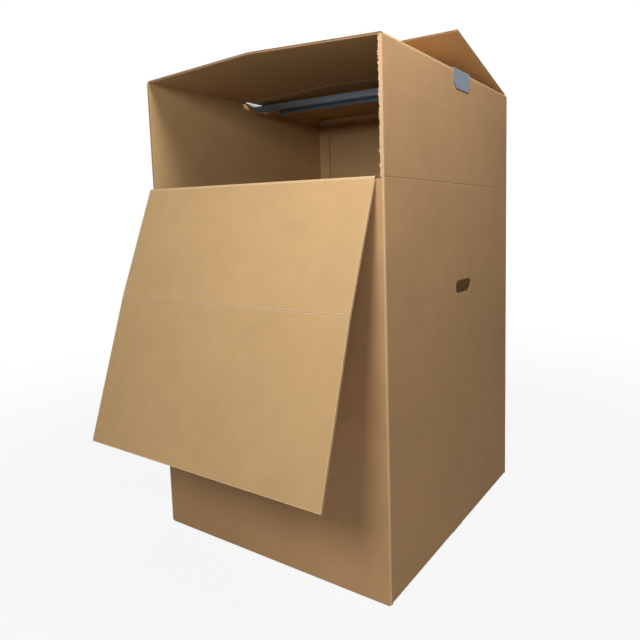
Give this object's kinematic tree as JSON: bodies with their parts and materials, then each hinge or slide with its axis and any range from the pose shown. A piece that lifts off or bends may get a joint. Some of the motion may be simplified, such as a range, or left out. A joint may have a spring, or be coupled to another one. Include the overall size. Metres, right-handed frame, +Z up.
{
  "type": "wardrobe moving box",
  "caption": "Tall square corrugated carton with a drop-down front door, open top flaps and a steel hanger bar hooked across its top.",
  "frame": {"origin": "on the floor, under the middle of the carton's base", "axes": "+Z up, the door faces -Y, the hanger bar runs along X"},
  "size_m": [0.613, 0.785, 1.1034],
  "materials": {
    "kraft_board": "matte",
    "galvanised_steel": "satin",
    "packing_tape": "gloss"
  },
  "bodies": {
    "carton": {"carton_body": "kraft_board", "hanger_bar": "galvanised_steel", "bottom_tape": "packing_tape"},
    "door": {"door_panel": "kraft_board"},
    "front_flap": {"front_top_flap": "kraft_board"},
    "back_flap": {"back_top_flap": "kraft_board"}
  },
  "joints": [
    {"name": "door_hinge", "type": "hinge", "parent": "carton", "child": "door", "pos_m": [0, -0.3053, 0.7776], "axis": [1, 0, 0], "range_deg": [-155, 17.5]},
    {"name": "front_flap_crease", "type": "hinge", "parent": "door", "child": "front_flap", "pos_m": [0, -0.3908, 0.55438], "axis": [-1, 0, 0], "range_deg": [0, 63]},
    {"name": "back_flap_hinge", "type": "hinge", "parent": "carton", "child": "back_flap", "pos_m": [0, 0.3053, 1.0209], "axis": [-1, 0, 0], "range_deg": [-13.5, 250]}
  ]
}
